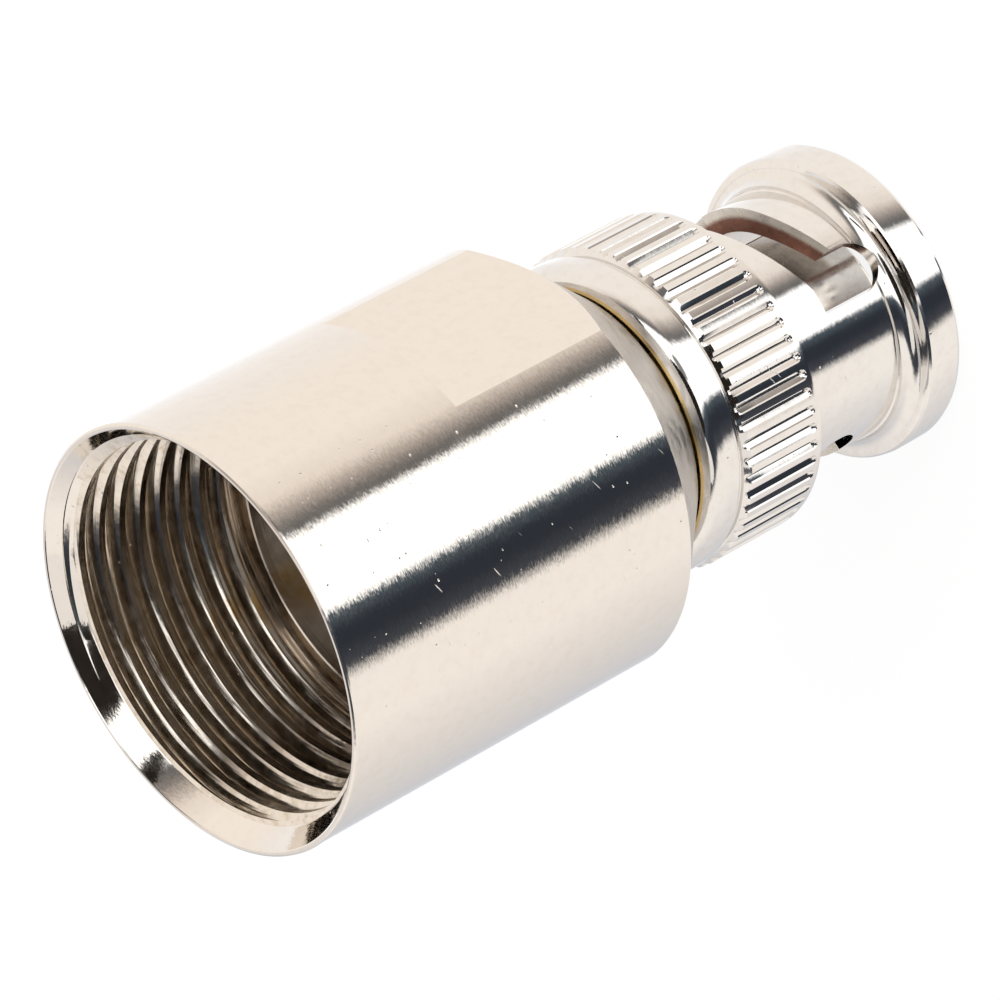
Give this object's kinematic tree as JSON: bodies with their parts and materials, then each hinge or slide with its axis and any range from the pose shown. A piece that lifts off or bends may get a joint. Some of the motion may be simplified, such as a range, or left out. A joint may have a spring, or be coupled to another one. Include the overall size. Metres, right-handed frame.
{
  "type": "bnc connector",
  "caption": "Bayonet coaxial plug with a spring-loaded, knurled coupling sleeve and a large internally threaded clamp body for thick cable.",
  "frame": {"origin": "centre of the mating end's plane, on the plug's axis", "axes": "+Z along the plug's axis, from the mating end to the cable end; the keyways lie near the Y axis"},
  "size_m": [0.02, 0.02, 0.039],
  "materials": {
    "nickel_plated_brass": "bright nickel plate",
    "plain_brass": "turned",
    "spring_steel": "bright rolled",
    "silicone_rubber": "satin",
    "ptfe": "waxy white",
    "gold_plated_brass": "gold plate"
  },
  "bodies": {
    "body": {"plug_body": "nickel_plated_brass", "outer_contact": "nickel_plated_brass", "front_insulator": "ptfe", "rear_insulator": "ptfe", "centre_pin": "gold_plated_brass", "retaining_ring": "spring_steel", "gasket": "silicone_rubber", "spring_washer": "spring_steel"},
    "thrust": {"thrust_washer": "plain_brass"},
    "coupling": {"coupling_sleeve": "nickel_plated_brass"}
  },
  "joints": [
    {"name": "coupling_pull", "type": "slide", "parent": "body", "child": "thrust", "axis": [0, 0, -1], "range_m": [0, 0.0009], "stiffness_N_per_m": 2000, "springref_m": -0.0005, "deforming": ["spring_washer"]},
    {"name": "coupling_turn", "type": "hinge", "parent": "thrust", "child": "coupling", "pos_m": [0, 0, 0], "axis": [0, 0, 1], "continuous": true}
  ]
}
